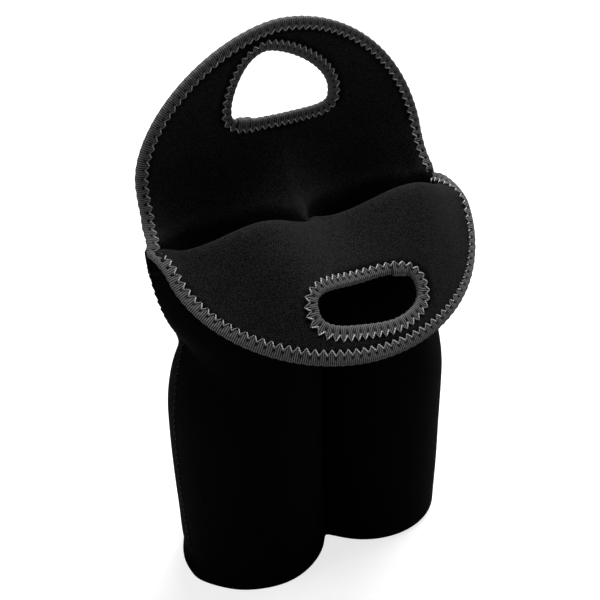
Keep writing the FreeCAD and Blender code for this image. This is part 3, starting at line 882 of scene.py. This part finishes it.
back = {
    "mouthHalfWidth": 100.9, "base": 38.0, "centreLow": 3.0, "lobeLow": 23.5,
    "leanHeight": 22.0, "leanReach": 27.3, "twist": 0.00107, "twistFrom": 28.0,
    "bulge": 8.0, "bulgeFrom": 32.5, "bulgeHalfWidth": 97.0, "bulgeHeight": 84.0,
    "rimHalfWidths": (96.6, 97.0), "rimShoulders": (38.0, 32.5), "rimTop": 115.9,
    "rimSquareness": (1.72, 1.95), "rimPoints": 241, "rings": 28, "tapeShares": (0.93, 0.93),
    "rows": 18, "mergeHeight": 12.0, "thinHeight": 8.0, "flareHeights": (20.0, 38.0),
    "mouthUps": ((0.0, -1.0, 0.45), (0.0, -1.0, 0.45)),
    "foldLength": 38.0, "bendSpan": (214.0, 46.0),
    "bend": {"start": (0.0, 0.004, 0.214), "end": (0.0, 0.010, 0.260)},
}
backSlot = {
    "halfWidth": 34.9, "centre": 68.8, "rootHeight": 10.7, "rimHeight": 31.5,
    "rootSquareness": (4.4, 4.4), "rimSquareness": (1.64, 1.64), "rightFuller": 0.0,
    "lean": -10.9, "shift": 1.9, "lapAt": 0.05, "tapeShares": (0.95, 0.0, 0.0),
}


# Two channels beside a middle ridge at the mouth, going over into one sheet that stands further back
# by an exponential that levels out. The sheet twists a little with height and bulges as one less the
# square of the distance from its middle.
def backSheet(x, run):
    share = np.clip(np.abs(x) / back["mouthHalfWidth"], 0.0, 1.0)
    low = back["centreLow"] * np.cos(math.pi / 2.0 * share) ** 2 + back["lobeLow"] * np.sin(math.pi * share)
    lean = 1.0 - np.exp(-run / back["leanHeight"])
    twist = back["twist"] * x * np.maximum(run - back["twistFrom"], 0.0)
    above = np.maximum(run - back["bulgeFrom"], 0.0)
    outward = (x / back["bulgeHalfWidth"]) ** 2 + (above / back["bulgeHeight"]) ** 2
    bulge = back["bulge"] * np.maximum(1.0 - outward, 0.0)
    return stack(x, blendOf(low, back["leanReach"] + bulge, lean) + twist, sleeve["mouth"] + run)


# Rows that rise from the mouth to the handle end's base line.
backSleeves = sleeveRows(1.0)
foot = backSleeves[0][-1]
backOutline = outlineOf(back, foot[:, 0])
run = np.linspace(0.0, back["base"], back["rows"] + 1)[1:, None]
flare = 1.0 - np.maximum(1.0 - run / eachSide(back["flareHeights"], across[0]), 0.0) ** 2
rowX = blendOf(foot[:, 0], backOutline[0][: sleeve["columns"]], flare)
runHere = blendOf(foot[:, 2] - sleeve["mouth"], back["base"], run / back["base"])
standing = stack(rowX, foot[:, 1], sleeve["mouth"] + runHere)
riseMid = blendOf(standing, backSheet(rowX, runHere), ease(run / back["mergeHeight"])[..., None])
thinned = ease(run / back["thinHeight"])
backForm = (backSleeves, backOutline, riseMid, thinned)
backPieces = handleEnd("back", 1.0, backSheet, back, backSlot, *backForm)
backCloth, backRimTape, backRimThread, backSlotTape, backSlotThread = backPieces


# Seams and tacks in black thread

seam = {
    "radius": 0.38, "swing": 1.5, "pitch": 4.6, "perStitch": 8, "low": 9.0, "high": 216.0,
    "sideAt": 0.9999, "sideOut": 0.15, "sink": 0.5, "sinkSlope": 3.0,
    "baseFrom": 6.0, "baseTo": 82.0, "floorGap": 0.02,
}
threads = {}


# A zigzag from 1 to -1 and back with each whole step of the phase.
def swingOf(phase):
    return 4.0 * np.abs(phase % 1.0 - 0.5) - 1.0


# Places along a seam of whole stitches, and its zigzag there.
def levelsOf(low, high):
    stitches = int(round((high - low) / seam["pitch"]))
    phase = np.arange(stitches * seam["perStitch"] + 1) / seam["perStitch"]
    return blendOf(low, high, phase / stitches), swingOf(phase)


def seamPiece(name, lines, up, radius):
    parts = [threadPart(line, np.broadcast_to(up, line.shape), radius, np.zeros(len(line))) for line in lines]
    threads[name] = meshObject(name, joined(parts), [blackThread])
    rideOn(threads[name], "carrier")


# Side seams: zigzag up the outer end of each sleeve.
z, swing = levelsOf(seam["low"], seam["high"])
for name, face in (("leftSideThread", -1.0), ("rightSideThread", 1.0)):
    x = outerWall(np.full(len(z), seam["sideAt"] * face), z)[0]
    line = stack(x + seam["sideOut"] * face, seam["swing"] * swing + seamShift(face, z), raised(1.0, z))
    seamPiece(name, [line], (face, 0.0, 0.0), seam["radius"])

# Centre seam: a straight stitch in the groove on each face, in and out of the cloth.
y = outerWall(np.zeros(len(z)), z)[1] + seam["sink"] * np.tanh(seam["sinkSlope"] * swing)
lines = [stack(0.0, face * y, z) for face in (-1.0, 1.0)]
seamPiece("centreThread", lines, (1.0, 0.0, 0.0), seam["radius"])

# Base seams: zigzag across the bottom of each sleeve.
x, swing = levelsOf(seam["baseFrom"], seam["baseTo"])
for name, face in (("leftBaseThread", -1.0), ("rightBaseThread", 1.0)):
    line = stack(face * x, seam["swing"] * swing, seam["radius"] + seam["floorGap"])
    seamPiece(name, [line], (0.0, 0.0, 1.0), seam["radius"])

# Bar tacks: a close zigzag across both cloths at each end of the mouth and at its middle.
tack = {
    "halfLength": 5.0, "halfWidth": 1.5, "passes": 12, "perPass": 6, "radius": 0.4,
    "level": 214.0, "centreLevel": 226.5, "wallFrom": 0.8, "wallPoints": 40,
}
phase = np.linspace(0.0, tack["passes"], tack["passes"] * tack["perPass"] + 1)
tackAlong = tack["halfLength"] * (2.0 * phase / tack["passes"] - 1.0)
tackSwing = tack["halfWidth"] * swingOf(phase)
for name, face in (("leftTack", -1.0), ("rightTack", 1.0)):
    y = tackAlong + seamShift(face, tack["level"])
    spread = np.linspace(tack["wallFrom"], 1.0, tack["wallPoints"]) * face
    wallX, wallY = outerWall(spread, np.array(tack["level"]))
    shift = seamShift(spread, tack["level"])
    x = np.interp(y, np.append(shift - wallY, (shift + wallY)[::-1]), np.append(wallX, wallX[::-1]))
    line = stack(x, y, raised(1.0, tack["level"]) + tackSwing)
    seamPiece(name, [line], (face, 0.0, 0.0), tack["radius"])
line = stack(tackSwing, tackAlong, tack["centreLevel"])
seamPiece("centreTack", [line], (0.0, 0.0, 1.0), tack["radius"])
print("seams and tacks made")


# What each piece stands for and its finish; the parts it stands for are hidden

standsFor = [
    (frontCloth, ("front_panel", "front_fold", "front_flap"), "neoprene"),
    (backCloth, ("back_panel", "back_fold", "back_flap"), "neoprene"),
    (frontRimTape, ("front_flap_binding", "front_fold_binding"), "tape"),
    (frontSlotTape, ("front_slot_binding",), "tape"),
    (backRimTape, ("back_flap_binding", "back_fold_binding"), "tape"),
    (backSlotTape, ("back_slot_binding",), "tape"),
    (frontRimThread, ("front_flap_stitch",), "thread"),
    (frontSlotThread, ("front_slot_stitch",), "thread"),
    (backRimThread, ("back_flap_stitch",), "thread"),
    (backSlotThread, ("back_slot_stitch",), "thread"),
    (threads["leftSideThread"], ("left_side_seam",), "thread"),
    (threads["rightSideThread"], ("right_side_seam",), "thread"),
    (threads["centreThread"], ("centre_seam",), "thread"),
    (threads["leftBaseThread"], ("left_base_seam",), "thread"),
    (threads["rightBaseThread"], ("right_base_seam",), "thread"),
    (threads["leftTack"], ("left_tack",), "thread"),
    (threads["rightTack"], ("right_tack",), "thread"),
    (threads["centreTack"], ("centre_tack",), "thread"),
]
for piece, nodes, finish in standsFor:
    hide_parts(*nodes)


# Floor, light and camera

stage = {
    "floorHalf": 3.0, "floorLevel": 0.5, "floorRoughness": 0.9, "floorGlow": 0.75,
    "background": 1.0, "fill": 0.13, "lightTarget": (0.0, 0.0, 0.2), "lightSize": 0.9,
}
half = stage["floorHalf"]
floorMesh = bpy.data.meshes.new("floor")
corners = [(-half, -half, 0.0), (half, -half, 0.0), (half, half, 0.0), (-half, half, 0.0)]
floorMesh.from_pydata(corners, [], [(0, 1, 2, 3)])
floor = objectOf("floor", floorMesh)
paper = Nodes("paper")
seen = paper.add("ShaderNodeLightPath", {}).outputs["Is Camera Ray"]
glow = paper.add("ShaderNodeMapRange", {"Value": seen, "To Max": stage["floorGlow"]})
inputs = {
    "Base Color": (*[stage["floorLevel"]] * 3, 1.0),
    "Roughness": stage["floorRoughness"],
    "Specular IOR Level": 0.0,
    "Emission Color": (1.0, 1.0, 1.0, 1.0),
    "Emission Strength": glow.outputs["Result"],
}
paper.fill(paper.shader, inputs)
floorMesh.materials.append(paper.material)

world = bpy.data.worlds.new("studio")
bpy.context.scene.world = world
world.use_nodes = True
sky = world.node_tree
skyShade = sky.nodes["Background"]
rays = sky.nodes.new("ShaderNodeLightPath")
level = sky.nodes.new("ShaderNodeMapRange")
level.inputs["To Min"].default_value = stage["fill"]
level.inputs["To Max"].default_value = stage["background"]
sky.links.new(rays.outputs["Is Camera Ray"], level.inputs["Value"])
sky.links.new(level.outputs["Result"], skyShade.inputs["Strength"])
skyShade.inputs["Color"].default_value = (1.0, 1.0, 1.0, 1.0)


# The matrix of a lamp or camera that looks away from what is behind it.
def placed(right, up, behind, place):
    return Matrix([*zip(right, up, behind, place), (0.0, 0.0, 0.0, 1.0)])


def areaLight(name, place, power):
    data = bpy.data.lights.new(name, "AREA")
    data.shape = "DISK"
    data.size = stage["lightSize"]
    data.energy = power
    lamp = objectOf(name, data)
    behind = unit(np.array(place) - np.array(stage["lightTarget"]))
    right = unit(np.cross([0.0, 0.0, 1.0], behind))
    lamp.matrix_world = placed(right, np.cross(behind, right), behind, place)


areaLight("keyLight", place=(0.45, 0.32, 1.65), power=38.0)
areaLight("rightLight", place=(1.4, 0.1, 0.7), power=6.0)
areaLight("leftLight", place=(-1.4, 0.1, 0.7), power=6.0)

# The camera as fitted to the photograph. Its focal length and frame are in pixels there.
view = {
    "azimuth": -30.05, "elevation": 28.42, "roll": -0.81, "focal": 1100.0, "frame": 600.0,
    "place": (-0.3047, -0.5169, 0.4969), "sensor": 36.0, "clip": (0.01, 20.0),
}
azimuth, elevation, roll = [math.radians(view[k]) for k in ("azimuth", "elevation", "roll")]
sideways = np.array([math.cos(azimuth), math.sin(azimuth), 0.0])
outward = math.cos(elevation)
behind = np.array([math.sin(azimuth) * outward, -math.cos(azimuth) * outward, math.sin(elevation)])
upright = np.cross(behind, sideways)
right = sideways * math.cos(roll) + upright * math.sin(roll)
top = upright * math.cos(roll) - sideways * math.sin(roll)
camera = objectOf("camera", bpy.data.cameras.new("camera"))
camera.data.sensor_width = view["sensor"]
camera.data.lens = view["sensor"] * view["focal"] / view["frame"]
camera.data.clip_start, camera.data.clip_end = view["clip"]
camera.matrix_world = placed(right, top, behind, view["place"])
bpy.context.scene.camera = camera
bpy.context.scene.view_settings.view_transform = "Standard"
print("stage set")
